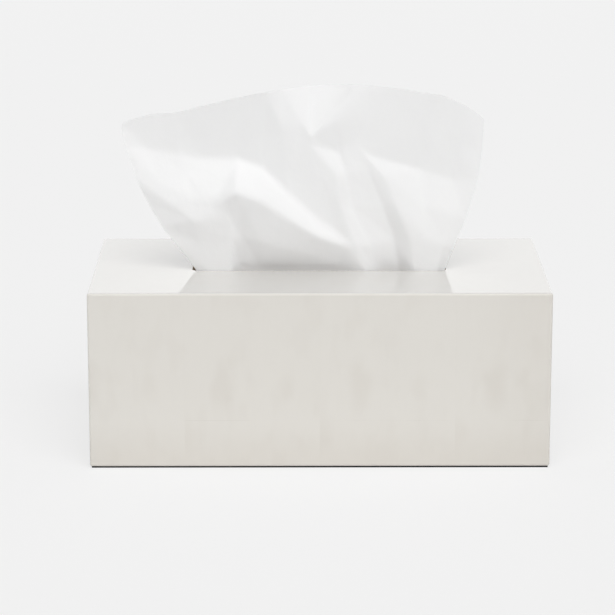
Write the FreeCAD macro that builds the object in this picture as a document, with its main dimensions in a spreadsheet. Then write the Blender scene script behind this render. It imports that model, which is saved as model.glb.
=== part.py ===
import FreeCAD, Part
import math
import os
import Sketcher
from FreeCAD import Placement, Rotation, Vector

# Tissue box: a veneered cover with a slotted lid, set down over a refill carton.
# Millimetres. X runs along the box, the front faces -Y, and Z = 0 is the table.

SIZES = {
    # Cover, outside, felt included
    "cover_length": 260.0,
    "cover_depth": 140.0,
    "cover_height": 101.6,
    "board_thickness": 6.0,
    "veneer_thickness": 1.6,
    "arris_radius": 1.4,
    "felt_thickness": 0.8,
    "felt_inset": 1.0,
    # Veneer sheets, laid from the middle of each face and from the top edge down
    "sheet_pitch": 76.2,
    "base_row_height": 28.0,
    # Slot in the lid
    "slot_length": 146.0,
    "slot_width": 29.0,
    "slot_corner_radius": 4.0,
    "slot_rim_radius": 0.8,
    # Refill carton, from the room that it leaves inside the cover
    "carton_end_gap": 7.4,
    "carton_side_gap": 3.4,
    "carton_headroom": 10.0,
    "card_thickness": 0.5,
    "glue_lap": 14.0,
    "dust_flap": 48.0,
    "end_flap_overlap": 24.0,
    "mouth_length": 172.0,
    "mouth_width": 46.0,
    "mouth_end_flat": 1.0,
    # Film under the carton's mouth
    "film_thickness": 0.2,
    "film_margin": 9.0,
    "slit_length": 158.0,
    "slit_opening": 26.0,
    # Stack of folded tissues, from the room that it leaves inside the carton
    "stack_end_gap": 7.5,
    "stack_side_gap": 5.5,
    "stack_headroom": 8.5,
    "stack_fold_radius": 2.0,
    # Tissue that stands in the slot
    "tissue_thickness": 0.6,
    "tissue_rise": 106.4,
    "slot_end_clearance": 2.5,
    "slot_side_clearance": 0.3,
    "slit_clearance": 0.5,
    "fan_take_up": 1.5,
    "fan_lean": 11.0,
    "tail_setback": 2.0,
}

# Fold lines of the standing tissue, left to right, each from the slot to the top edge.
# A point is how far across the sheet it lies (-1 to 1), its depth as a share of the
# slot's half width (minus is forwards) and its height as a share of the rise.
FOLDS = [
    {"edge_slot": (-0.99, -0.92, 0.00), "edge_low": (-1.00, -0.94, 0.13),
     "edge_hem": (-1.01, -0.87, 0.24), "edge_bend": (-1.01, -0.70, 0.36),
     "edge_mid": (-1.01, -0.53, 0.49), "edge_shoulder": (-1.01, -0.11, 0.66),
     "left_corner": (-1.01, 0.11, 0.78)},
    {"cheek_slot": (-0.90, -1.00, 0.00), "cheek_low": (-0.82, -1.00, 0.15),
     "flap_tip": (-0.76, -1.10, 0.28), "flap_elbow": (-0.87, -0.90, 0.37),
     "flap_hem": (-0.88, -0.61, 0.47), "flap_shoulder": (-0.89, 0.00, 0.64),
     "cheek_top": (-0.85, 0.14, 0.83)},
    {"stripe_slot": (-0.81, -1.00, 0.00), "stripe_low": (-0.72, -1.00, 0.15),
     "flap_tip": None, "stripe_hem": (-0.70, -0.85, 0.39),
     "stripe_mid": (-0.70, -0.30, 0.52), "stripe_shoulder": (-0.72, 0.00, 0.62),
     "stripe_top": (-0.69, 0.14, 0.84)},
    {"column_slot": (-0.71, -1.00, 0.00), "column_low": (-0.58, -1.00, 0.17),
     "column_high": (-0.53, -1.03, 0.33), "crest_left": (-0.60, -1.01, 0.37),
     "band_left": (-0.59, 0.07, 0.59), "column_top": (-0.48, 0.18, 0.89)},
    {"wall_slot": (-0.63, -0.63, 0.00), "wall_low": (-0.50, -0.90, 0.18),
     "crest_peak": (-0.43, -1.14, 0.44), "band_peak": (-0.39, 0.07, 0.59),
     "wall_top": (-0.30, 0.18, 0.93)},
    {"hollow_slot_a": (-0.47, -0.65, 0.00), "hollow_low_a": (-0.37, -1.03, 0.16),
     "crest_high": (-0.28, -1.16, 0.39), "band_high": (-0.25, 0.00, 0.54),
     "panel_top": (-0.18, 0.21, 0.95)},
    {"hollow_slot_b": (-0.28, -0.65, 0.00), "hollow_low_b": (-0.22, -0.99, 0.12),
     "crest_mid": (-0.13, -1.15, 0.29), "band_mid": (-0.12, -0.31, 0.41),
     "panel_mid": (-0.10, 0.00, 0.75), "vee_left": (-0.09, 0.42, 0.96)},
    {"hollow_slot_c": (-0.06, -0.69, 0.00), "hollow_low_c": (-0.01, -0.89, 0.08),
     "crest_low": (0.04, -1.08, 0.19), "band_low": (0.03, -0.58, 0.28),
     "strip_high": (-0.03, -0.18, 0.59), "vee_shade": (0.01, 0.04, 0.79),
     "vee_mid": (0.07, 0.92, 0.97)},
    {"strip_slot": (0.17, -0.74, 0.00), "crest_end": (0.22, -1.01, 0.14),
     "strip_low": (0.17, -0.80, 0.20), "strip_mid": (0.10, -0.41, 0.51),
     "fold_left": (0.06, -0.18, 0.66), "vee_tip": (0.05, -0.14, 0.71),
     "vee_right": (0.28, 0.70, 0.98)},
    {"gather": (0.38, -0.99, 0.00), "fold_low": (0.30, -1.01, 0.14),
     "fold_mid": (0.21, -0.76, 0.35), "fold_high": (0.20, -0.51, 0.51),
     "fold_right": (0.20, -0.04, 0.63), "brow_low": (0.20, 0.04, 0.85),
     "brow_left": (0.30, 0.35, 0.99)},
    {"recess_slot": (0.51, -0.67, 0.00), "recess_low": (0.42, -0.77, 0.13),
     "recess_mid": (0.28, -0.56, 0.34), "recess_high": (0.25, -0.34, 0.51),
     "recess_top": (0.24, -0.07, 0.66), "brow_mid": (0.36, 0.04, 0.82),
     "brow_top": (0.42, 0.21, 0.98)},
    {"fall_slot": (0.65, -0.60, 0.00), "fall_low": (0.58, -0.63, 0.16),
     "fall_mid": (0.48, -0.55, 0.34), "fall_high": (0.38, -0.34, 0.53),
     "fall_top": (0.31, -0.11, 0.66), "fall_brow": (0.47, 0.04, 0.81),
     "fall_crown": (0.54, 0.21, 0.97)},
    {"ridge_slot": (0.77, -0.97, 0.00), "ridge_low": (0.69, -0.92, 0.17),
     "ridge_mid": (0.59, -0.80, 0.31), "ridge_high": (0.48, -0.51, 0.50),
     "ridge_top": (0.39, -0.18, 0.61), "ridge_brow": (0.58, 0.04, 0.78),
     "ridge_crown": (0.66, 0.21, 0.95)},
    {"belly_slot": (0.88, -1.00, 0.00), "belly_low": (0.81, -0.94, 0.17),
     "belly_mid": (0.74, -0.58, 0.35), "belly_top": (0.69, -0.07, 0.53),
     "belly_brow": (0.72, 0.07, 0.74), "belly_crown": (0.79, 0.21, 0.93)},
    {"side_slot": (0.95, -0.99, 0.00), "side_low": (0.95, -0.94, 0.14),
     "side_mid": (0.94, -0.69, 0.30), "side_top": (0.89, -0.21, 0.48),
     "side_brow": (0.88, -0.04, 0.67), "side_crown": (0.91, 0.14, 0.88)},
    {"right_slot": (1.01, -0.85, 0.00), "right_low": (1.02, -0.90, 0.13),
     "right_mid": (1.03, -0.74, 0.28), "right_high": (1.04, -0.42, 0.48),
     "right_brow": (1.03, -0.18, 0.64), "right_corner": (1.02, 0.04, 0.81)},
]

# Sizes that follow from the driving ones: what nests inside takes its size from what
# holds it and a named gap.
FITS = {
    "wall": "sizes.board_thickness + sizes.veneer_thickness",
    "lid_underside": "sizes.cover_height - wall",
    "board_length": "sizes.cover_length - 2 * sizes.veneer_thickness",
    "board_depth": "sizes.cover_depth - 2 * sizes.veneer_thickness",
    "inner_length": "sizes.cover_length - 2 * wall",
    "inner_depth": "sizes.cover_depth - 2 * wall",
    "shell_height": "sizes.cover_height - sizes.felt_thickness",
    "board_height": "lid_underside - sizes.felt_thickness",
    "felt_length": "sizes.cover_length - 2 * sizes.felt_inset",
    "felt_depth": "sizes.cover_depth - 2 * sizes.felt_inset",
    "felt_width": "wall - 2 * sizes.felt_inset",
    "carton_length": "inner_length - 2 * sizes.carton_end_gap",
    "carton_depth": "inner_depth - 2 * sizes.carton_side_gap",
    "carton_height": "lid_underside - sizes.carton_headroom",
    "mouth_corner_radius": "(sizes.mouth_width - sizes.mouth_end_flat) / 2",
    "film_top": "carton_height - sizes.card_thickness",
    "film_length": "sizes.mouth_length + 2 * sizes.film_margin",
    "film_depth": "sizes.mouth_width + 2 * sizes.film_margin",
    "end_wall": "3 * sizes.card_thickness",
    "stack_length": "carton_length - 2 * end_wall - 2 * sizes.stack_end_gap",
    "stack_depth": "carton_depth - 2 * sizes.card_thickness - 2 * sizes.stack_side_gap",
    "stack_top": "film_top - sizes.stack_headroom",
    "stack_height": "stack_top - sizes.card_thickness",
}

# The sides in the order that quarter turns about Z bring the front round to them
SIDES = ("front", "right", "back", "left")

# Tolerance for picking out edges and counting sheets, in millimetres
NEAR = 0.01

doc = FreeCAD.newDocument("tissue_box")


def make_sheet(name, cells, prefix=""):
    sheet = doc.addObject("Spreadsheet::Sheet", name)
    for row, (alias, content) in enumerate(cells.items(), start=1):
        sheet.set(f"A{row}", alias)
        sheet.set(f"B{row}", f"{prefix}{content}")
        sheet.setAlias(f"B{row}", alias)
    doc.recompute()
    return sheet


sizes = make_sheet("sizes", SIZES)
fits = make_sheet("fits", FITS, prefix="=")


def size(name):
    return float(sizes.get(name))


def fit(name):
    return float(fits.get(name))


def tie(thing, places):
    """Bind properties of an object to expressions over the two sheets."""
    for place, expression in places.items():
        thing.setExpression(place, expression)


# Sketches and bodies

def origin_plane(body, role):
    return next(f for f in body.Origin.OriginFeatures if f.Role == role)


def new_body(name, turn=0.0, places=None):
    body = doc.addObject("PartDesign::Body", name)
    body.Placement = Placement(Vector(), Rotation(Vector(0, 0, 1), turn))
    tie(body, places or {})
    return body


def new_sketch(body, name, height=None):
    """A sketch on the body's ground plane, or raised above it by an expression."""
    sketch = body.newObject("Sketcher::SketchObject", name)
    sketch.AttachmentSupport = [(origin_plane(body, "XY_Plane"), "")]
    sketch.MapMode = "FlatFace"
    if height:
        sketch.setExpression("AttachmentOffset.Base.z", height)
    return sketch


def constrain(sketch, kind, *places, name=None, expression=None):
    index = sketch.addConstraint(Sketcher.Constraint(kind, *places))
    if name:
        sketch.renameConstraint(index, name)
        sketch.setExpression(f"Constraints.{name}", expression)


def draw_loop(sketch, corners):
    """Straight lines through the corners, each joined to the next."""
    count = len(corners)
    for i, corner in enumerate(corners):
        sketch.addGeometry(Part.LineSegment(corner, corners[(i + 1) % count]))
    for i in range(count):
        constrain(sketch, "Coincident", i, 2, (i + 1) % count, 1)


def draw_rectangle(sketch, length, depth):
    """A rectangle about the origin."""
    draw_loop(sketch, [Vector(-9, -5), Vector(9, -5), Vector(9, 5), Vector(-9, 5)])
    for line, kind in enumerate(["Horizontal", "Vertical"] * 2):
        constrain(sketch, kind, line)
    constrain(sketch, "Symmetric", 0, 1, 2, 1, -1, 1)
    constrain(sketch, "DistanceX", 0, 1, 0, 2, 18, name="length", expression=length)
    constrain(sketch, "DistanceY", 1, 1, 1, 2, 10, name="depth", expression=depth)


def draw_rounded_rectangle(sketch, length, depth, radius):
    """A rectangle about the origin with round corners: lines 0 to 3, arcs 4 to 7."""
    x, y, r = 9.0, 5.0, 1.0
    sketch.addGeometry(Part.LineSegment(Vector(r - x, -y), Vector(x - r, -y)))
    sketch.addGeometry(Part.LineSegment(Vector(x, r - y), Vector(x, y - r)))
    sketch.addGeometry(Part.LineSegment(Vector(x - r, y), Vector(r - x, y)))
    sketch.addGeometry(Part.LineSegment(Vector(-x, y - r), Vector(-x, r - y)))
    up = Vector(0, 0, 1)
    for quarter, (sx, sy) in enumerate([(1, -1), (1, 1), (-1, 1), (-1, -1)]):
        centre = Vector(sx * (x - r), sy * (y - r))
        start = (quarter - 1) * math.pi / 2
        circle = Part.Circle(centre, up, r)
        sketch.addGeometry(Part.ArcOfCircle(circle, start, start + math.pi / 2))
    for corner in range(4):
        constrain(sketch, "Tangent", corner, 2, 4 + corner, 1)
        constrain(sketch, "Tangent", 4 + corner, 2, (corner + 1) % 4, 1)
    for line, kind in enumerate(["Horizontal", "Vertical"] * 2):
        constrain(sketch, kind, line)
    for corner in (4, 5, 6):
        constrain(sketch, "Equal", corner, corner + 1)
    constrain(sketch, "Symmetric", 4, 3, 6, 3, -1, 1)
    constrain(sketch, "Radius", 4, r, name="corner", expression=radius)
    constrain(sketch, "DistanceX", 3, 1, 1, 1, 2 * x, name="length", expression=length)
    constrain(sketch, "DistanceY", 0, 1, 2, 1, 2 * y, name="depth", expression=depth)


def pad(body, sketch, name, length):
    feature = body.newObject("PartDesign::Pad", name)
    feature.Profile = sketch
    feature.setExpression("Length", length)
    sketch.Visibility = False
    doc.recompute()
    return feature


def pocket(body, sketch, name, depth):
    """Cut down from the sketch's plane and make sure that something was cut."""
    before = body.Shape.Volume
    feature = body.newObject("PartDesign::Pocket", name)
    feature.Profile = sketch
    feature.setExpression("Length", depth)
    sketch.Visibility = False
    doc.recompute()
    if body.Shape.Volume >= before:
        raise ValueError(f"{body.Name} {name} cut nothing")
    return feature


def fillet(body, name, base, wanted, radius):
    """Round the edges of a feature for which wanted(edge) holds."""
    feature = body.newObject("PartDesign::Fillet", name)
    edges = [f"Edge{i}" for i, edge in enumerate(base.Shape.Edges, 1) if wanted(edge)]
    feature.Base = (base, edges)
    feature.setExpression("Radius", radius)
    doc.recompute()
    return feature


# Cover

def turned_to(side):
    """The turn about Z that brings what is drawn for the front to another side."""
    return 90 * SIDES.index(side)


def lengthwise(side):
    """The words for a side's own length and for the direction it faces."""
    return ("length", "depth") if side in ("front", "back") else ("depth", "length")


def mitred_strip(name, side, run, offset, thickness, height, base):
    """A strip along one side of the box, its ends cut at 45 degrees.

    Drawn for the front: its outer edge is run long and lies offset in front of the
    middle, and the body is then turned to its side.
    """
    body = new_body(name, turned_to(side), {"Placement.Base.z": base})
    sketch = new_sketch(body, f"{name}_outline")
    draw_loop(sketch, [Vector(-9, -5), Vector(9, -5), Vector(7, -3), Vector(-7, -3)])
    constrain(sketch, "Symmetric", 0, 1, 0, 2, -2)
    constrain(sketch, "Symmetric", 2, 1, 2, 2, -2)
    constrain(sketch, "DistanceX", 0, 1, 0, 2, 18, name="outer", expression=run)
    constrain(sketch, "DistanceX", 2, 2, 2, 1, 14, name="inner",
              expression=f"{run} - 2 * {thickness}")
    constrain(sketch, "DistanceY", 0, 1, -1, 1, 5, name="offset", expression=offset)
    constrain(sketch, "DistanceY", 0, 2, 2, 1, 2, name="across", expression=thickness)
    pad(body, sketch, f"{name}_height", height)
    return body


def wall_board(side):
    along, across = lengthwise(side)
    return mitred_strip(f"{side}_board", side, f"fits.board_{along}",
                        f"fits.board_{across} / 2", "sizes.board_thickness",
                        "fits.board_height", "sizes.felt_thickness")


def felt_strip(side):
    along, across = lengthwise(side)
    return mitred_strip(f"{side}_felt", side, f"fits.felt_{along}",
                        f"fits.felt_{across} / 2", "fits.felt_width",
                        "sizes.felt_thickness", "0")


def lid_board():
    """The lid lies on the four walls and has the slot sawn through it."""
    body = new_body("top_board", 0, {"Placement.Base.z": "fits.lid_underside"})
    plate = new_sketch(body, "top_board_outline")
    draw_rectangle(plate, "fits.board_length", "fits.board_depth")
    pad(body, plate, "top_board_thickness", "sizes.board_thickness")
    slot = new_sketch(body, "top_board_slot", "sizes.board_thickness")
    draw_slot(slot)
    pocket(body, slot, "top_board_slot_cut", "sizes.board_thickness")
    return body


def draw_slot(sketch):
    draw_rounded_rectangle(sketch, "sizes.slot_length", "sizes.slot_width",
                           "sizes.slot_corner_radius")


def polished_form():
    """The glued-up and polished outside, from which each veneered face is parted."""
    body = new_body("polished_form", 0, {"Placement.Base.z": "sizes.felt_thickness"})
    outline = new_sketch(body, "form_outline")
    draw_rectangle(outline, "sizes.cover_length", "sizes.cover_depth")
    block = pad(body, outline, "form_height", "fits.shell_height")
    fillet(body, "form_arris", block, lambda edge: True, "sizes.arris_radius")
    slot = new_sketch(body, "form_slot", "fits.shell_height")
    draw_slot(slot)
    cut = pocket(body, slot, "form_slot_cut", "fits.wall")
    top = fit("shell_height")
    rim_x = size("slot_length") / 2
    rim_y = size("slot_width") / 2

    def on_slot_rim(edge):
        box = edge.BoundBox
        inside = max(abs(box.XMin), abs(box.XMax)) < rim_x + NEAR
        inside = inside and max(abs(box.YMin), abs(box.YMax)) < rim_y + NEAR
        return inside and abs(box.ZMin - top) < NEAR

    fillet(body, "form_slot_rim", cut, on_slot_rim, "sizes.slot_rim_radius")
    return body


def wedge(name, run, rise, placement, base):
    """The layer of one face: full size outside, drawn in by its thickness inside."""
    layer = doc.addObject("Part::Wedge", name)
    layer.Placement = placement
    thickness = "sizes.veneer_thickness"
    tie(layer, {
        "Xmin": f"-{run} / 2", "Xmax": f"{run} / 2",
        "X2min": f"-{run} / 2 + {thickness}", "X2max": f"{run} / 2 - {thickness}",
        "Ymin": "0", "Ymax": thickness,
        "Zmin": rise[0], "Zmax": rise[1], "Z2min": rise[2], "Z2max": rise[3],
    })
    tie(layer, base)
    return layer


def side_layer(side):
    along, across = lengthwise(side)
    turn = Rotation(Vector(0, 0, 1), turned_to(side))
    rise = ("0", "fits.shell_height", "0",
            "fits.shell_height - sizes.veneer_thickness")
    out = turn.multVec(Vector(0, -1, 0))
    base = {
        "Placement.Base.x": f"{round(out.x)} * sizes.cover_{across} / 2",
        "Placement.Base.y": f"{round(out.y)} * sizes.cover_{across} / 2",
        "Placement.Base.z": "sizes.felt_thickness",
    }
    placement = Placement(Vector(), turn)
    return wedge(f"{side}_layer", f"sizes.cover_{along}", rise, placement, base)


def top_layer():
    half = "sizes.cover_depth / 2"
    inner = f"{half} - sizes.veneer_thickness"
    placement = Placement(Vector(), Rotation(Vector(1, 0, 0), -90))
    base = {"Placement.Base.z": "sizes.cover_height"}
    rise = (f"-{half}", half, f"-({inner})", inner)
    return wedge("top_layer", "sizes.cover_length", rise, placement, base)


def common(name, first, second):
    shared = doc.addObject("Part::Common", name)
    shared.Base = first
    shared.Tool = second
    return shared


def spans(total, pitch):
    """Where the sheets of a row begin and end, counted out from the middle."""
    count = math.ceil((size(total) / 2 - NEAR) / size(pitch))
    half = f"sizes.{total} / 2"
    marks = [f"{i} * sizes.{pitch}" for i in range(1 - count, count)]
    marks = [f"-{half}", *marks, half]
    return list(zip(marks, marks[1:]))


def rows():
    """The two rows of sheets on the sides, from the felt up."""
    joint = "sizes.base_row_height"
    return [("sizes.felt_thickness", joint), (joint, "sizes.cover_height")]


def full(total):
    return [(f"-sizes.{total} / 2", f"sizes.{total} / 2")]


def veneered_face(side, form):
    """The sheets of one face, butted edge to edge and polished with the rest."""
    columns = spans("cover_length", "sheet_pitch")
    if side == "top":
        layer = top_layer()
        grid = (columns, spans("cover_depth", "sheet_pitch"),
                [("fits.lid_underside", "sizes.cover_height")])
    else:
        layer = side_layer(side)
        if side in ("front", "back"):
            grid = (columns, full("cover_depth"), rows())
        else:
            grid = (full("cover_length"), spans("cover_depth", "sheet_pitch"), rows())
    skin = common(f"{side}_skin", form, layer)
    sheets = []
    for x in grid[0]:
        for y in grid[1]:
            for z in grid[2]:
                number = len(sheets) + 1
                cell = span_box(f"{side}_cell_{number}", x, y, z)
                sheets.append(common(f"{side}_sheet_{number}", skin, cell))
    face = doc.addObject("Part::Compound", f"{side}_veneer")
    face.Links = sheets
    return face


def span_box(name, x, y, z):
    """A box between two places on each axis, given as expressions."""
    box = doc.addObject("Part::Box", name)
    for axis, extent, (low, high) in zip("xyz", ("Length", "Width", "Height"), (x, y, z)):
        tie(box, {f"Placement.Base.{axis}": low, extent: f"({high}) - ({low})"})
    return box


# Refill

def end_layer(sign, number):
    """The faces of a flap at one end, as the layer of that number from outside."""
    card = "sizes.card_thickness"
    half = "fits.carton_length / 2"
    faces = (f"{half} - {number} * {card}", f"{half} - {number - 1} * {card}")
    if sign > 0:
        return faces
    return tuple(f"-({face})" for face in reversed(faces))


def carton_panels():
    """Top, bottom, front and back of the carton, and the lap glued inside the back."""
    card = "sizes.card_thickness"
    half_x = "fits.carton_length / 2"
    half_y = "fits.carton_depth / 2"
    top = "fits.carton_height"
    bottom_x = f"{half_x} - {card}"
    side_x = f"{half_x} - 2 * {card}"
    lap_x = f"{half_x} - fits.end_wall"
    y_full = (f"-{half_y}", half_y)
    return [
        span_box("carton_top", (f"-{half_x}", half_x), y_full, (f"{top} - {card}", top)),
        span_box("carton_bottom", (f"-({bottom_x})", bottom_x), y_full, ("0", card)),
        span_box("carton_front", (f"-({side_x})", side_x),
                 (f"-{half_y}", f"-{half_y} + {card}"), ("0", top)),
        span_box("carton_back", (f"-({side_x})", side_x),
                 (f"{half_y} - {card}", half_y), ("0", top)),
        span_box("carton_glue_lap", (f"-({lap_x})", lap_x),
                 (f"{half_y} - 2 * {card}", f"{half_y} - {card}"),
                 ("0", "sizes.glue_lap")),
    ]


def carton_end(name, sign):
    """The flaps of one end, glued over each other: top, bottom, then both dust flaps."""
    half_y = "fits.carton_depth / 2"
    top = "fits.carton_height"
    y_full = (f"-{half_y}", half_y)
    overlap = "sizes.end_flap_overlap"
    return [
        span_box(f"{name}_top_flap", end_layer(sign, 1), y_full,
                 (f"({top} - {overlap}) / 2", top)),
        span_box(f"{name}_bottom_flap", end_layer(sign, 2), y_full,
                 ("0", f"({top} + {overlap}) / 2")),
        span_box(f"{name}_front_dust_flap", end_layer(sign, 3),
                 (f"-{half_y}", f"-{half_y} + sizes.dust_flap"), ("0", top)),
        span_box(f"{name}_back_dust_flap", end_layer(sign, 3),
                 (f"{half_y} - sizes.dust_flap", half_y), ("0", top)),
    ]


def refill_carton():
    """A folded and glued carton with an oval mouth torn out of its top."""
    folded = doc.addObject("Part::MultiFuse", "carton_folded")
    folded.Shapes = carton_panels() + carton_end("left", -1) + carton_end("right", 1)
    folded.Refine = True
    mouth = new_body("carton_mouth", 0, {"Placement.Base.z": "fits.film_top"})
    oval = new_sketch(mouth, "carton_mouth_outline")
    draw_rounded_rectangle(oval, "sizes.mouth_length", "sizes.mouth_width",
                           "fits.mouth_corner_radius")
    pad(mouth, oval, "carton_mouth_depth", "sizes.card_thickness")
    carton = doc.addObject("Part::Cut", "refill_carton")
    carton.Base = folded
    carton.Tool = mouth
    return carton


def carton_film():
    """Film glued inside the mouth; its slit stands open round the tissue."""
    body = new_body("carton_film", 0,
                    {"Placement.Base.z": "fits.film_top - sizes.film_thickness"})
    patch = new_sketch(body, "film_outline")
    draw_rounded_rectangle(patch, "fits.film_length", "fits.film_depth",
                           "sizes.film_margin")
    pad(body, patch, "film_patch", "sizes.film_thickness")
    slit = new_sketch(body, "film_slit", "sizes.film_thickness")
    left, right = Vector(-9, 0), Vector(9, 0)
    slit.addGeometry(Part.Arc(right, Vector(0, 2), left))
    slit.addGeometry(Part.Arc(left, Vector(0, -2), right))
    constrain(slit, "Coincident", 0, 2, 1, 1)
    constrain(slit, "Coincident", 1, 2, 0, 1)
    constrain(slit, "PointOnObject", 0, 1, -1)
    constrain(slit, "Symmetric", 0, 1, 0, 2, -1, 1)
    constrain(slit, "Equal", 0, 1)
    constrain(slit, "DistanceX", 0, 2, 0, 1, 18, name="length",
              expression="sizes.slit_length")
    constrain(slit, "Radius", 0, 21, name="bow", expression=(
        "(sizes.slit_length ^ 2 + sizes.slit_opening ^ 2) / (4 * sizes.slit_opening)"))
    pocket(body, slit, "film_slit_cut", "sizes.film_thickness")
    return body


def tissue_stack():
    """The folded pack, its two long sides rounded by the folds."""
    body = new_body("tissue_stack", 0, {"Placement.Base.z": "sizes.card_thickness"})
    outline = new_sketch(body, "stack_outline")
    draw_rectangle(outline, "fits.stack_length", "fits.stack_depth")
    block = pad(body, outline, "stack_height", "fits.stack_height")

    def along_x(edge):
        return edge.BoundBox.XLength > fit("stack_length") - NEAR

    fillet(body, "stack_folds", block, along_x, "sizes.stack_fold_radius")
    return body


# Standing tissue

def fold_point(across, depth, height):
    """A fold's place above the lid: the sheet fans out and leans left as it rises."""
    fan = 1 - (1 - min(height, 1)) ** 2
    gathered = size("slot_length") / 2 - size("slot_end_clearance")
    spread = fit("stack_length") / 2 - size("fan_take_up")
    half_width = gathered + (spread - gathered) * fan
    reach = size("slot_width") / 2 - size("slot_side_clearance")
    return Vector(across * half_width - size("fan_lean") * fan,
                  depth * reach,
                  size("cover_height") + height * size("tissue_rise"))


def slit_half_opening(x):
    """Half of the slit's opening at x, where its edge is an arc."""
    half_length = size("slit_length") / 2
    half_opening = size("slit_opening") / 2
    radius = (half_length ** 2 + half_opening ** 2) / (2 * half_opening)
    return math.sqrt(radius ** 2 - x ** 2) - radius + half_opening


def tissue_paths():
    """Each fold line from the tail on the stack, up through the slot, to the top."""
    thickness = Vector(0, size("tissue_thickness"), 0)
    lift = Vector(0, 0, size("tissue_thickness"))
    tail_y = fit("stack_depth") / 2 - size("tail_setback")
    tail_half = fit("stack_length") / 2
    slot_reach = size("slot_width") / 2
    named = {}
    paths = []
    for number, line in enumerate(FOLDS):
        for name, place in line.items():
            if place:
                named[name] = (fold_point(*place), thickness)
        slot_name = next(iter(line))
        slot = named[slot_name][0]
        room = slit_half_opening(slot.x) - size("slit_clearance")
        room -= size("tissue_thickness")
        slit_y = slot.y / slot_reach * room
        tail_x = tail_half * (2 * number / (len(FOLDS) - 1) - 1)
        route = {
            "tail": (Vector(tail_x, tail_y, fit("stack_top")), lift),
            "bend": (Vector(slot.x, slit_y, fit("stack_top")), thickness + lift),
            "slit": (Vector(slot.x, slit_y, fit("film_top")), thickness),
            "under": (Vector(slot.x, slot.y, fit("lid_underside")), thickness),
        }
        for step, place in route.items():
            named[f"{slot_name}_{step}"] = place
        paths.append([f"{slot_name}_{step}" for step in route] + list(line))
    return named, paths


def facets_between(left, right):
    """Triangles between two fold lines, which may share their last points."""
    triangles = []
    i = j = 0
    while i < len(left) - 1 or j < len(right) - 1:
        climb_left = (i + 1) * (len(right) - 1) <= (j + 1) * (len(left) - 1)
        if j == len(right) - 1 or (climb_left and i < len(left) - 1):
            corner = (left[i], right[j], left[i + 1])
            i += 1
        else:
            corner = (left[i], right[j], right[j + 1])
            j += 1
        if len(set(corner)) == 3:
            triangles.append(corner)
    return triangles


def pulled_tissue():
    """One sheet: a front of flat facets between folds, a back a thickness behind."""
    named, paths = tissue_paths()
    front = {name: place for name, (place, _) in named.items()}
    back = {name: place + offset for name, (place, offset) in named.items()}
    facets = [t for pair in zip(paths, paths[1:]) for t in facets_between(*pair)]
    faces = [flat_face([front[n] for n in t]) for t in facets]
    faces += [flat_face([back[n] for n in t[::-1]]) for t in facets]
    for start, end in rim(facets):
        faces.append(flat_face([front[end], front[start], back[start]]))
        faces.append(flat_face([front[end], back[start], back[end]]))
    shell = Part.makeShell(faces)
    shell.sewShape()
    solid = Part.makeSolid(shell)
    if solid.Volume < 0:
        solid.reverse()
    tissue = doc.addObject("Part::Feature", "pulled_tissue")
    tissue.Shape = solid
    tissue.Placement = Placement()
    return tissue


def rim(facets):
    """The edges that only one facet has, each the way that facet runs along it."""
    edges = {(t[k], t[(k + 1) % 3]) for t in facets for k in range(3)}
    return sorted((a, b) for a, b in edges if (b, a) not in edges)


def flat_face(corners):
    return Part.Face(Part.makePolygon([*corners, corners[0]]))


def check_document():
    doc.recompute()
    for thing in doc.Objects:
        if {"Invalid", "Error"} & set(thing.State):
            raise ValueError(f"{thing.Name} failed: {thing.State}")


def export(pieces):
    for piece in pieces:
        shape = piece.Shape
        if shape.isNull() or not shape.isValid() or not shape.Solids:
            raise ValueError(f"{piece.Label} has no sound shape")
    os.makedirs("parts", exist_ok=True)
    for piece in pieces:
        piece.Shape.exportStep(f"parts/{piece.Label}.step")


def build():
    form = polished_form()
    pieces = [lid_board()]
    pieces += [wall_board(side) for side in SIDES]
    pieces += [veneered_face(side, form) for side in ("top", *SIDES)]
    pieces += [felt_strip(side) for side in SIDES]
    pieces += [refill_carton(), carton_film(), tissue_stack(), pulled_tissue()]
    check_document()
    export(pieces)


build()
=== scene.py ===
import math
import random

import bmesh
import bpy
import numpy as np
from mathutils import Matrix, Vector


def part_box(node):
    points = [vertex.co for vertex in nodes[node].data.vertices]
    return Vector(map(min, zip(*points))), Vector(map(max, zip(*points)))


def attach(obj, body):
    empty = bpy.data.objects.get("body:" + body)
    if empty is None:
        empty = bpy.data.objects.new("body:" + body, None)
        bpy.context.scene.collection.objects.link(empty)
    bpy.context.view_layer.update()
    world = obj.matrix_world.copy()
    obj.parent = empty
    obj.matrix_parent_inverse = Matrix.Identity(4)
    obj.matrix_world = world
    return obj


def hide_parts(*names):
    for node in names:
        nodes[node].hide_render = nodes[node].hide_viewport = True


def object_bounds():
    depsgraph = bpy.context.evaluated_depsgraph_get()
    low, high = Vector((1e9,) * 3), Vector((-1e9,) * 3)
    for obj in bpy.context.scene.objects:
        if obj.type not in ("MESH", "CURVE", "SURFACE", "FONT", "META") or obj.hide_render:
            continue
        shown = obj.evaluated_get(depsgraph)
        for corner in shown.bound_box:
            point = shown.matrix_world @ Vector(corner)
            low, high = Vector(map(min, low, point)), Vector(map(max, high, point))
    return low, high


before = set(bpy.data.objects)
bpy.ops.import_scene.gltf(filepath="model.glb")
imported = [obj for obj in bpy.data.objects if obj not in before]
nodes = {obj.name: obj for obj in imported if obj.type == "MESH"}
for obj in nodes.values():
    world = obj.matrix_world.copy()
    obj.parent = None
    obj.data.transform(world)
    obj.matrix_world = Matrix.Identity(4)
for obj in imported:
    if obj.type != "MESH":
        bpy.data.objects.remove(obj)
cad_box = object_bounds()

MM = 0.001
SIDES = ("front", "right", "back", "left")

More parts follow.
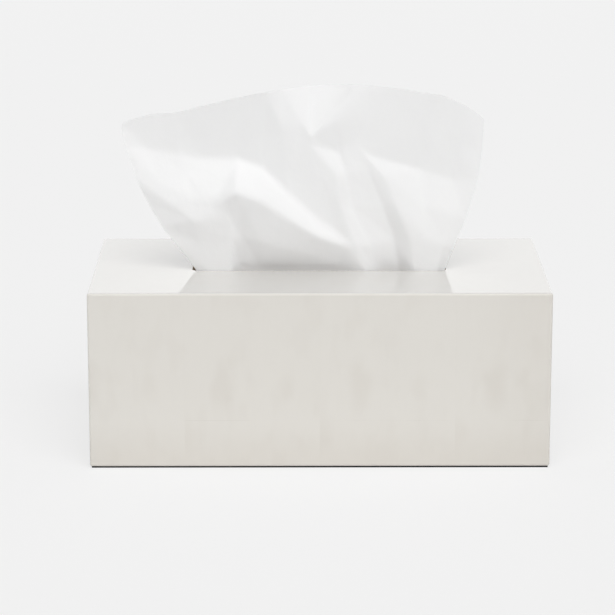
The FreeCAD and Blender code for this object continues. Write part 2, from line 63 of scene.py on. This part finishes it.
# Camera, at the photograph's viewing angle
CAMERA_PLACE = (-0.01267, -1.5525, 0.4692)
CAMERA_DOWN = math.radians(14.215)
CAMERA_RIGHT = math.radians(0.22)
CAMERA_LENS = 160.63
CAMERA_SENSOR = 36.0

# Light: the sky, one broad lamp overhead, and a pale card behind that the lid mirrors
BACKGROUND = 0.879
SKY_STRENGTH = 0.24
FRONT_FILL = 0.20
SUN_STRENGTH = 2.25
SUN_ANGLE = math.radians(60)
SUN_TILT_FORWARD = math.radians(33)
SUN_TILT_RIGHT = math.radians(6)
CARD_RADIANCE = 0.19
CARD_SIZE = (2.4, 1.0)
CARD_PLACE = (0, 2.5, 0.7)

# Floor: what the camera and reflections see is part glow, part lit, and other rays see it lit
FLOOR_SIZE = 16.0
FLOOR_DROP = 0.05 * MM
FLOOR_GLOW = 1.0
FLOOR_GLOW_SHARE = 0.67
FLOOR_GRAIN = 3.0
FLOOR_SHOWN = ((0.705, 0.705, 0.705, 1), (0.715, 0.715, 0.715, 1))
FLOOR_LIT = (0.70, 0.70, 0.70, 1)

# Veneer sheets, as the cover is made
SHEET_PITCH = 76.2 * MM
BASE_ROW_TOP = 28.0 * MM

# Veneer colours, from the light tone of the sheets to the dark one; the lid's tones are a darker copy of
# the same veneer, painted shade that holds back the stronger light on the lid.
WALL_TONES = ((0.790, 0.765, 0.713, 1), (0.706, 0.670, 0.611, 1))
LID_TONES_PAINTED_SHADE = ((0.705, 0.688, 0.655, 1), (0.670, 0.645, 0.605, 1))
JOINT_COLOUR = (0.42, 0.38, 0.32, 1)

# Veneer figure: how finely each kind varies along x, y and z, and how much it darkens
SLIVERS = (90, 90, 45)
SLIVER_FADE = (0.48, 0.72)
SLIVERS_DARKEN = 0.30
FIGURE = (260, 260, 70)
FIGURE_SHIFT = (3, 1, 7)
FIGURE_DARKENS = 0.25
CLOUDS = 16.0
CLOUDS_DARKEN = 0.30
SHEETS_DARKEN = 0.15
# Painted shade: the walls' veneer is darker towards the base, standing in for the shade near the floor.
BASE_PAINTED_SHADE = 1.4
PAINTED_SHADE_HEIGHT = 32 * MM
# Darker towards the right end of the cover.
RIGHT_END_DARKENS = 0.5
RIGHT_END = (80 * MM, 125 * MM)
TONE_SCALE = 0.5

# Darker spots in each sheet, in mm and a share: place across the sheet, height on the wall,
# half width, half height, depth of tone
CLOUDED_SPOTS = [
    (26.5, 55, 7, 16, 0.75),
    (61, 54, 5, 9, 0.45),
    (42, 58, 4, 6, 0.25),
    (5, 27, 8, 12, 0.45),
]
# The spots' places waver by noise, and each fades out between two shares of its own size
SPOT_WAVER = 55.0
SPOT_WAVER_SHIFT = (5, 2, 9)
SPOT_WAVER_ACROSS = 9 * MM
SPOT_WAVER_UP = 14 * MM
SPOT_FADE = (0.2, 1.4)

# Joints between sheets: hairlines that fade out over a short width and show here and there
JOINT_FADE = (0.10 * MM, 0.35 * MM)
FAINT_JOINT = 0.02
BASE_ROW_JOINT = 0.10
JOINT_PATCHES = 24.0
JOINT_PATCH_FADE = (0.50, 0.64)

# Tissue sheet
TISSUE_THICKNESS = 0.15 * MM
TISSUE_LIGHT_THROUGH = 0.24
# What counts as the CAD sheet's front: a triangle's slope to the front, or down in the tail
WELD = 0.01 * MM
FACES_FORWARD = -0.05
FACES_DOWN = -0.9
TAIL_REACH = 0.1 * MM
# How finely the sheet is divided, and how far its folds are rounded
TISSUE_TRIANGLE = 2.2 * MM
SMOOTHING_ROUNDS = 3
SMOOTHING_STRENGTH = 0.5
# Where the tissue's folds are softer: across and up, how far, rounds of smoothing
LOOSE_FOLDS = [
    ((14 * MM, 200 * MM), 20 * MM, 40),
    ((-63 * MM, 141 * MM), 13 * MM, 14),
]
# How far the tissue's edges are eased out where they pass the slot, and over what height
SLOT_EASE = 0.9 * MM
SLOT_EASE_REACH = 13 * MM
SLOT_BAND = 2 * MM
SLOT_EASE_POWER = 6

# Folded tissues in the carton: how many, points along and round each, and how uneven they lie
STACK_LOOPS = 44
STACK_STATIONS = 14
LOOP_TURN_STEPS = 6
LOOP_RADIUS_SHARE = 0.49
STACK_UNEVEN_SIDE = 1.6 * MM
STACK_UNEVEN_END = 0.8 * MM
STACK_BEND = 0.4 * MM
STACK_BEND_PER_LOOP = 2.1
STACK_BEND_PER_STATION = 0.9


# Node trees

class Nodes:
    """A short way to lay out a node tree: a call makes a node and links its inputs."""

    def __init__(self, tree):
        self.tree = tree
        tree.nodes.clear()

    def connect(self, socket, value):
        """Link an input to another node's output, or set it to a plain value."""
        if isinstance(value, bpy.types.NodeSocket):
            self.tree.links.new(value, socket)
        else:
            socket.default_value = value

    def add(self, kind, inputs=None, **settings):
        node = self.tree.nodes.new(kind)
        for name, value in settings.items():
            setattr(node, name, value)
        for name, value in (inputs or {}).items():
            self.connect(node.inputs[name], value)
        return node

    def math(self, operation, *values):
        return self.add("ShaderNodeMath", dict(enumerate(values)), operation=operation).outputs[0]

    def total(self, first, *others):
        """Pairs of a value and its weight, added up."""
        result = self.math("MULTIPLY", *first)
        for value, weight in others:
            result = self.math("ADD", result, self.math("MULTIPLY", value, weight))
        return result

    def place(self):
        """The point on the surface, in the object's own metres."""
        return self.add("ShaderNodeTexCoord").outputs["Object"]

    def noise(self, vector, scale, detail=2.0):
        inputs = {"Vector": vector, "Scale": scale, "Detail": detail}
        return self.add("ShaderNodeTexNoise", inputs).outputs["Fac"]

    def stretch(self, vector, scale, location=(0, 0, 0)):
        inputs = {"Vector": vector, "Scale": scale, "Location": location}
        return self.add("ShaderNodeMapping", inputs).outputs["Vector"]

    def ramp(self, value, span, to_low=0.0, to_high=1.0):
        """A smooth step from one number to another, over a span of the value."""
        low, high = span
        inputs = {"Value": value, "From Min": low, "From Max": high, "To Min": to_low, "To Max": to_high}
        return self.add("ShaderNodeMapRange", inputs, interpolation_type="SMOOTHSTEP").outputs["Result"]

    def mix(self, factor, first, second):
        """A colour between two, whose sockets are told apart by their numbers."""
        node = self.add("ShaderNodeMix", data_type="RGBA")
        for number, value in ((0, factor), (6, first), (7, second)):
            self.connect(node.inputs[number], value)
        return node.outputs[2]

    def bump(self, height, distance):
        return self.add("ShaderNodeBump", {"Height": height, "Distance": distance}).outputs["Normal"]

    def principled(self, **inputs):
        shader = self.add("ShaderNodeBsdfPrincipled",
                          {name.replace("_", " "): value for name, value in inputs.items()})
        self.add("ShaderNodeOutputMaterial", {"Surface": shader.outputs[0]})

    def seen_by(self, first, *others):
        """One for rays of the named kinds, and zero for the rest."""
        path = self.add("ShaderNodeLightPath")
        result = path.outputs[first]
        for kind in others:
            result = self.math("MAXIMUM", result, path.outputs[kind])
        return result


def new_material(name):
    material = bpy.data.materials.new(name)
    material.use_nodes = True
    return material, Nodes(material.node_tree)


# Materials

def add_clouded_spots(n, tone, place, share, y, z):
    """Add darker spots to the front and back walls, at the same places in each sheet."""
    across = n.math("MULTIPLY", n.math("FRACT", share), SHEET_PITCH)
    waver = n.noise(place, SPOT_WAVER)
    across = n.math("ADD", across, n.math("MULTIPLY", waver, SPOT_WAVER_ACROSS))
    waver = n.noise(n.stretch(place, (1, 1, 1), SPOT_WAVER_SHIFT), SPOT_WAVER)
    up = n.math("ADD", z, n.math("MULTIPLY", waver, SPOT_WAVER_UP))
    on_wall = n.math("GREATER_THAN", n.math("ABSOLUTE", y), cad_box[1].y - MM)
    for centre, height, half_width, half_height, depth in CLOUDED_SPOTS:
        far_x = n.math("DIVIDE", n.math("SUBTRACT", across, centre * MM), half_width * MM)
        far_z = n.math("DIVIDE", n.math("SUBTRACT", up, height * MM), half_height * MM)
        spread = n.math("SQRT", n.total((far_x, far_x), (far_z, far_z)))
        spot = n.math("MULTIPLY", n.ramp(spread, SPOT_FADE, depth, 0.0), on_wall)
        tone = n.math("ADD", tone, spot)
    return tone


def sheet_joints(n, place, x, y, z):
    """Hairline joints: faint ones between neighbours and along the middle of the lid, and a
    plainer one above the base row."""
    near_x = n.math("PINGPONG", n.math("ABSOLUTE", x), SHEET_PITCH)
    near_x = n.math("MINIMUM", near_x, n.math("SUBTRACT", SHEET_PITCH, near_x))
    near_x = n.math("MINIMUM", near_x, n.math("ABSOLUTE", y))
    near_z = n.math("ABSOLUTE", n.math("SUBTRACT", z, BASE_ROW_TOP))
    joint = n.math("MAXIMUM", n.ramp(near_x, JOINT_FADE, FAINT_JOINT, 0.0),
                   n.ramp(near_z, JOINT_FADE, BASE_ROW_JOINT, 0.0))
    return n.math("MULTIPLY", joint, n.ramp(n.noise(place, JOINT_PATCHES), JOINT_PATCH_FADE))


def veneer_material(name, tones):
    """Polished ivory sheets under clear lacquer: soft upright figure and hairline joints, and painted
    shade towards the base.
    """
    material, n = new_material(name)
    place = n.place()
    x, y, z = n.add("ShaderNodeSeparateXYZ", {"Vector": place}).outputs
    share = n.math("DIVIDE", x, SHEET_PITCH)
    row = n.math("GREATER_THAN", z, BASE_ROW_TOP)
    half = n.math("GREATER_THAN", y, 0.0)
    sheet = n.add("ShaderNodeCombineXYZ", {"X": n.math("FLOOR", share), "Y": row, "Z": half}).outputs[0]
    sheet_tone = n.add("ShaderNodeTexWhiteNoise", {"Vector": sheet}).outputs["Value"]
    slivers = n.ramp(n.noise(n.stretch(place, SLIVERS), 1.0, detail=1.5), SLIVER_FADE)
    figure = n.noise(n.stretch(place, FIGURE, FIGURE_SHIFT), 1.0, detail=3.0)
    tone = n.total((slivers, SLIVERS_DARKEN), (figure, FIGURE_DARKENS),
                   (n.noise(place, CLOUDS), CLOUDS_DARKEN), (sheet_tone, SHEETS_DARKEN))
    tone = add_clouded_spots(n, tone, place, share, y, z)
    # Painted shade: darker towards the base of each wall.
    tone = n.math("ADD", tone, n.ramp(z, (0.0, PAINTED_SHADE_HEIGHT), BASE_PAINTED_SHADE, 0.0))
    tone = n.math("ADD", tone, n.ramp(x, RIGHT_END, 0.0, RIGHT_END_DARKENS))
    colour = n.mix(n.math("MULTIPLY", tone, TONE_SCALE), *tones)
    colour = n.mix(sheet_joints(n, place, x, y, z), colour, JOINT_COLOUR)
    n.principled(Base_Color=colour, Roughness=0.06, IOR=1.6, Coat_Weight=1.0,
                 Coat_Roughness=0.02, Coat_IOR=1.7)
    return material


def board_material():
    """Fibreboard: pressed brown fibres."""
    material, n = new_material("fibreboard")
    place = n.place()
    fibres = n.noise(place, scale=900.0, detail=4.0)
    tone = n.total((fibres, 0.7), (n.noise(place, scale=60.0), 0.3))
    colour = n.mix(tone, (0.46, 0.33, 0.20, 1), (0.62, 0.48, 0.32, 1))
    n.principled(Base_Color=colour, Roughness=0.85, Normal=n.bump(fibres, distance=0.1 * MM))
    return material


def felt_material():
    """Black pressed felt."""
    material, n = new_material("black_felt")
    fibres = n.noise(n.place(), scale=2500.0, detail=3.0)
    colour = n.mix(fibres, (0.008, 0.008, 0.008, 1), (0.035, 0.035, 0.035, 1))
    n.principled(Base_Color=colour, Roughness=0.95, Normal=n.bump(fibres, distance=0.2 * MM))
    return material


def card_material():
    """White folding card, slightly mottled."""
    material, n = new_material("white_card")
    mottle = n.noise(n.place(), scale=350.0, detail=3.0)
    colour = n.mix(mottle, (0.78, 0.775, 0.75, 1), (0.86, 0.855, 0.835, 1))
    n.principled(Base_Color=colour, Roughness=0.7, Normal=n.bump(mottle, distance=0.02 * MM))
    return material


def film_material():
    """Clear film with faint stretch marks."""
    material, n = new_material("clear_film")
    streaks = n.noise(n.stretch(n.place(), (40, 400, 40)), scale=1.0)
    colour = n.mix(streaks, (0.90, 0.92, 0.94, 1), (0.96, 0.97, 0.98, 1))
    n.principled(Base_Color=colour, Roughness=0.12, Transmission_Weight=0.9, IOR=1.3,
                 Normal=n.bump(streaks, distance=0.1 * MM))
    return material


def tissue_material():
    """Soft white two-ply tissue: a crepe of fine cross ridges, and light through it."""
    material, n = new_material("soft_tissue")
    place = n.place()
    crepe = n.noise(n.stretch(place, (2600, 900, 900)), scale=1.0, detail=3.0)
    height = n.total((crepe, 0.06 * MM), (n.noise(place, scale=140.0), 0.20 * MM))
    normal = n.bump(height, distance=1.0)
    colour = n.mix(crepe, (0.95, 0.95, 0.95, 1), (0.965, 0.965, 0.965, 1))
    white = n.add("ShaderNodeBsdfDiffuse", {"Color": colour, "Normal": normal}).outputs[0]
    through = n.add("ShaderNodeBsdfTranslucent", {"Color": colour}).outputs[0]
    shader = n.add("ShaderNodeMixShader", {0: TISSUE_LIGHT_THROUGH, 1: white, 2: through})
    n.add("ShaderNodeOutputMaterial", {"Surface": shader.outputs[0]})
    return material


def floor_material():
    """A pale floor: its own colour to the camera, with the object's soft shadow on it."""
    material, n = new_material("pale_floor")
    seen = n.seen_by("Is Camera Ray", "Is Glossy Ray")
    shown = n.mix(n.noise(n.place(), FLOOR_GRAIN), *FLOOR_SHOWN)
    lit = n.add("ShaderNodeBsdfDiffuse", {"Color": n.mix(seen, FLOOR_LIT, shown)}).outputs[0]
    glow = n.add("ShaderNodeEmission", {"Color": (FLOOR_GLOW,) * 3 + (1,)}).outputs[0]
    share = n.math("MULTIPLY", seen, FLOOR_GLOW_SHARE)
    shader = n.add("ShaderNodeMixShader", {0: share, 1: lit, 2: glow})
    n.add("ShaderNodeOutputMaterial", {"Surface": shader.outputs[0]})
    return material


# Objects

def new_object(name, data):
    made = bpy.data.objects.new(name, data)
    bpy.context.scene.collection.objects.link(made)
    return made


def new_piece(name, mesh, material):
    """Turn worked-out mesh data into an object of the scene."""
    data = bpy.data.meshes.new(name)
    mesh.to_mesh(data)
    mesh.free()
    data.materials.append(material)
    return new_object(name, data)


# Tissue

def front_of(node):
    """The front of a CAD sheet, points and triangles, without its back and its rim."""
    mesh = bmesh.new()
    mesh.from_mesh(nodes[node].data)
    bmesh.ops.remove_doubles(mesh, verts=mesh.verts, dist=WELD)
    tail_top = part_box("tissue_stack")[1].z + TAIL_REACH
    tail = [f for f in mesh.faces if f.calc_center_median().z < tail_top]
    front = [f for f in mesh.faces if f.normal.y < FACES_FORWARD]
    front += [f for f in tail if f.normal.z < FACES_DOWN]
    bmesh.ops.delete(mesh, geom=list(set(mesh.faces) - set(front)), context="FACES")
    return mesh


def divide(mesh, longest):
    """Halve edges, the longest first, until none is longer than that; faces stay triangles."""
    while True:
        long_edges = [e for e in mesh.edges if e.calc_length() > longest]
        if not long_edges:
            break
        for edge in sorted(long_edges, key=lambda e: -e.calc_length()):
            sides = [(f, next(v for v in f.verts if v not in edge.verts)) for f in edge.link_faces]
            middle = bmesh.utils.edge_split(edge, edge.verts[0], 0.5)[1]
            for face, corner in sides:
                bmesh.utils.face_split(face, corner, middle)


def soften(mesh, rounds, strength, centre=None, reach=0.0):
    """Round the folds of the divided sheet, all of it or only near a place; a rim point follows
    only the rim."""
    mesh.verts.ensure_lookup_table()
    mesh.verts.index_update()
    rim = np.array([v.is_boundary for v in mesh.verts])
    ends = np.array([[v.index for v in e.verts] for e in mesh.edges])
    along_rim = np.array([e.is_boundary for e in mesh.edges])
    both = np.concatenate([ends, ends[:, ::-1]])
    follows = np.concatenate([along_rim, along_rim]) | ~rim[both[:, 0]]
    taker, giver = both[follows].T
    points = np.array([v.co for v in mesh.verts])
    counts = np.bincount(taker, minlength=len(points))[:, None]
    if centre:
        away = np.hypot(points[:, 0] - centre[0], points[:, 2] - centre[1])
        strength = strength * np.clip(2 * (1 - away / reach), 0, 1)[:, None]
    for _ in range(rounds):
        sums = np.zeros_like(points)
        np.add.at(sums, taker, points[giver])
        points += (sums / counts - points) * strength
    for vert, point in zip(mesh.verts, points):
        vert.co = point


def spread_in_slot(mesh, most, reach):
    """Ease the tissue's two edges out towards the ends of the slot, where it passes the lid."""
    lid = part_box("top_veneer")[1].z
    edge = max(abs(v.co.x) for v in mesh.verts if abs(v.co.z - lid) < SLOT_BAND)
    for vert in mesh.verts:
        near = max(0.0, 1 - abs(vert.co.z - lid) / reach)
        smooth = near * near * (3 - 2 * near)
        outward = min(1.0, abs(vert.co.x) / edge) ** SLOT_EASE_POWER
        vert.co.x += math.copysign(most * smooth * outward, vert.co.x)


def loop_ring(mesh, x, near, far, middle, radius):
    """The points round one folded tissue, at one place along it."""
    ring = []
    for centre, start, inward in ((near, math.pi / 2, 1), (far, -math.pi / 2, -1)):
        for step in range(LOOP_TURN_STEPS + 1):
            turn = start + math.pi * step / LOOP_TURN_STEPS
            y = centre + (math.cos(turn) + inward) * radius
            ring.append(mesh.verts.new((x, y, middle + math.sin(turn) * radius)))
    return ring


def tissue_stack(material):
    """The folded tissues in the carton: flat loops, one on another, each folded over at its sides."""
    low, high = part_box("tissue_stack")
    chance = random.Random(4)
    pitch = (high.z - 2 * TISSUE_THICKNESS - low.z) / STACK_LOOPS
    mesh = bmesh.new()
    for loop in range(STACK_LOOPS):
        middle = low.z + (loop + 0.5) * pitch
        front, back = (chance.uniform(0, STACK_UNEVEN_SIDE) for _ in range(2))
        left, right = (chance.uniform(0, STACK_UNEVEN_END) for _ in range(2))
        rings = []
        for station in range(STACK_STATIONS + 1):
            x = low.x + left + (high.x - low.x - left - right) * station / STACK_STATIONS
            sway = STACK_BEND_PER_LOOP * loop + STACK_BEND_PER_STATION * station
            bend = STACK_BEND * math.sin(sway)
            near = low.y + front + STACK_BEND + bend
            far = high.y - back - STACK_BEND + bend
            rings.append(loop_ring(mesh, x, near, far, middle, pitch * LOOP_RADIUS_SHARE))
        for ring, following in zip(rings, rings[1:]):
            for k in range(len(ring)):
                after = (k + 1) % len(ring)
                mesh.faces.new((ring[k], ring[after], following[after], following[k]))
        mesh.faces.new(reversed(rings[0]))
        mesh.faces.new(rings[-1])
    bmesh.ops.recalc_face_normals(mesh, faces=mesh.faces)
    piece = new_piece("folded_tissues", mesh, material)
    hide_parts("tissue_stack")
    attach(piece, "root")


def pulled_tissue(material):
    """The tissue in the slot, one thin sheet with softly rounded folds."""
    mesh = front_of("pulled_tissue")
    divide(mesh, TISSUE_TRIANGLE)
    soften(mesh, SMOOTHING_ROUNDS, SMOOTHING_STRENGTH)
    for centre, reach, rounds in LOOSE_FOLDS:
        soften(mesh, rounds, SMOOTHING_STRENGTH, centre, reach)
    spread_in_slot(mesh, SLOT_EASE, SLOT_EASE_REACH)
    rims = [e.is_boundary for e in mesh.edges]
    piece = new_piece("standing_tissue", mesh, material)
    for face in piece.data.polygons:
        face.use_smooth = True
    for edge, rim in zip(piece.data.edges, rims):
        edge.use_edge_sharp = rim
    thicken = piece.modifiers.new("thickness", "SOLIDIFY")
    thicken.thickness = TISSUE_THICKNESS
    thicken.offset = 1.0
    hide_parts("pulled_tissue")
    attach(piece, "root")


# Scene

def floor():
    bpy.ops.mesh.primitive_plane_add(size=FLOOR_SIZE, location=(0, 0, -FLOOR_DROP))
    plane = bpy.context.object
    plane.name = "floor"
    plane.data.materials.append(floor_material())


def sky():
    """A plain pale background, and for the light on the object an even sky, fuller in front."""
    world = bpy.data.worlds.new("studio")
    bpy.context.scene.world = world
    world.use_nodes = True
    n = Nodes(world.node_tree)
    seen = n.seen_by("Is Camera Ray", "Is Glossy Ray", "Is Transmission Ray")
    towards = n.add("ShaderNodeTexCoord").outputs["Generated"]
    backward = n.add("ShaderNodeSeparateXYZ", {"Vector": towards}).outputs["Y"]
    forward = n.math("MAXIMUM", n.math("MULTIPLY", backward, -1.0), 0.0)
    light = n.math("ADD", n.math("MULTIPLY", forward, FRONT_FILL), SKY_STRENGTH)
    strength = n.total((seen, BACKGROUND), (n.math("SUBTRACT", 1.0, seen), light))
    background = n.add("ShaderNodeBackground", {"Color": (1, 1, 1, 1), "Strength": strength})
    n.add("ShaderNodeOutputWorld", {"Surface": background.outputs[0]})


def lights():
    """One broad lamp above and a little to the front, and a pale card behind."""
    lamp = bpy.data.lights.new("overhead", "SUN")
    lamp.energy = SUN_STRENGTH
    lamp.angle = SUN_ANGLE
    sun = new_object("overhead", lamp)
    sun.rotation_euler = (SUN_TILT_FORWARD, SUN_TILT_RIGHT, 0)
    sun.visible_glossy = False
    lamp = bpy.data.lights.new("backdrop", "AREA")
    lamp.shape = "RECTANGLE"
    lamp.size, lamp.size_y = CARD_SIZE
    lamp.energy = CARD_RADIANCE * math.pi * CARD_SIZE[0] * CARD_SIZE[1]
    card = new_object("backdrop", lamp)
    card.location = CARD_PLACE
    card.rotation_euler = (-math.pi / 2, 0, 0)
    card.visible_camera = False


def camera():
    data = bpy.data.cameras.new("camera")
    data.lens = CAMERA_LENS
    data.sensor_width = CAMERA_SENSOR
    eye = new_object("camera", data)
    eye.location = CAMERA_PLACE
    eye.rotation_euler = (math.pi / 2 - CAMERA_DOWN, 0, -CAMERA_RIGHT)
    bpy.context.scene.camera = eye


def dress(material, *names):
    """Give CAD nodes their material."""
    for name in names:
        data = nodes[name].data
        data.materials.clear()
        data.materials.append(material)


def main():
    bpy.context.scene.view_settings.view_transform = "Standard"
    camera()
    sky()
    lights()
    floor()
    dress(veneer_material("polished_veneer", WALL_TONES), *(f"{side}_veneer" for side in SIDES))
    # The lid gets the same veneer in darker tones: painted shade.
    dress(veneer_material("polished_lid_veneer_painted_shade", LID_TONES_PAINTED_SHADE), "top_veneer")
    dress(board_material(), "top_board", *(f"{side}_board" for side in SIDES))
    dress(felt_material(), *(f"{side}_felt" for side in SIDES))
    dress(card_material(), "refill_carton")
    dress(film_material(), "carton_film")
    tissue = tissue_material()
    tissue_stack(tissue)
    pulled_tissue(tissue)


main()
